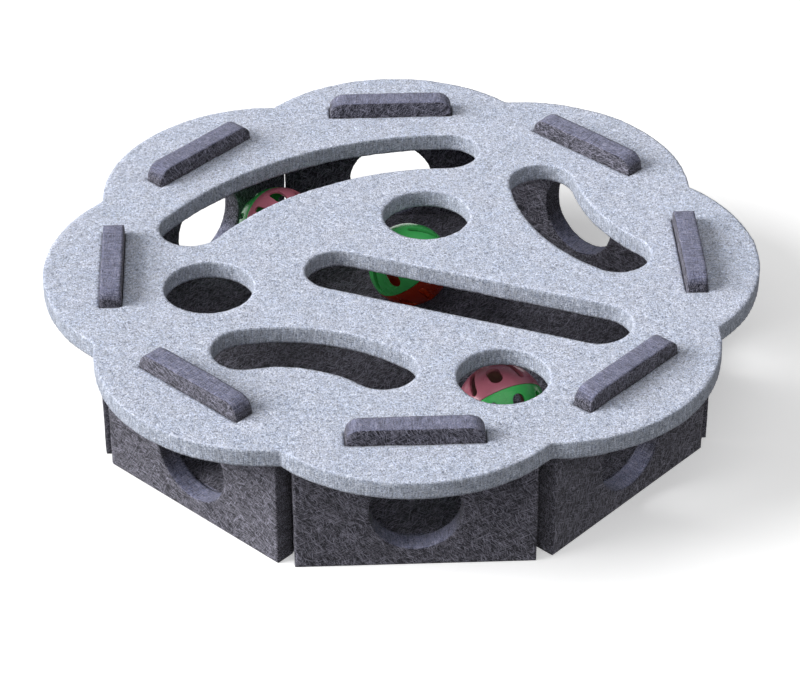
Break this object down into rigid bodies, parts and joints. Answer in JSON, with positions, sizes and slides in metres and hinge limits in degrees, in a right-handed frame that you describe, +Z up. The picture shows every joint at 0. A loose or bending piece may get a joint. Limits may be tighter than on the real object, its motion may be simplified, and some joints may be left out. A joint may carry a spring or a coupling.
{
  "type": "felt treat puzzle toy",
  "caption": "Low felt box of tabbed wall panels on a floor, with a lobed lid pierced by round holes and slots, pierced side walls, and loose two-colour lattice balls inside.",
  "frame": {"origin": "on the ground under the middle of the floor, at the bottom centre of the bounding box", "axes": "+Z up out of the lid, -Y towards the front wall panel, +X to the right as seen from the front"},
  "size_m": [0.3396, 0.3396, 0.076],
  "materials": {
    "light_felt": "pressed wool-look felt, light blue-grey, matt",
    "dark_felt": "pressed wool-look felt, heathered charcoal, matt",
    "green_plastic": "moulded, glossy",
    "orange_plastic": "moulded, glossy",
    "pink_plastic": "moulded, glossy"
  },
  "bodies": {
    "felt_box": {"floor": "dark_felt", "wall_front": "dark_felt", "wall_front_right": "dark_felt", "wall_right": "dark_felt", "wall_back_right": "dark_felt", "wall_back": "dark_felt", "wall_back_left": "dark_felt", "wall_left": "dark_felt", "wall_front_left": "dark_felt", "lid": "light_felt"},
    "ball_middle": {"ball_middle_green": "green_plastic", "ball_middle_orange": "orange_plastic"},
    "ball_front": {"ball_front_pink": "pink_plastic", "ball_front_green": "green_plastic"},
    "ball_back": {"ball_back_pink": "pink_plastic", "ball_back_green": "green_plastic"}
  },
  "joints": [
    {"name": "ball_middle_slide", "type": "slide", "parent": "felt_box", "child": "ball_middle", "axis": [0.9239, -0.3827, 0], "range_m": [-0.02, 0.113]},
    {"name": "ball_front_slide", "type": "slide", "parent": "felt_box", "child": "ball_front", "axis": [1, 0, 0], "range_m": [-0.134, 0.047]},
    {"name": "ball_back_slide", "type": "slide", "parent": "felt_box", "child": "ball_back", "axis": [-0.7071, -0.7071, 0], "range_m": [-0.029, 0.074]}
  ]
}
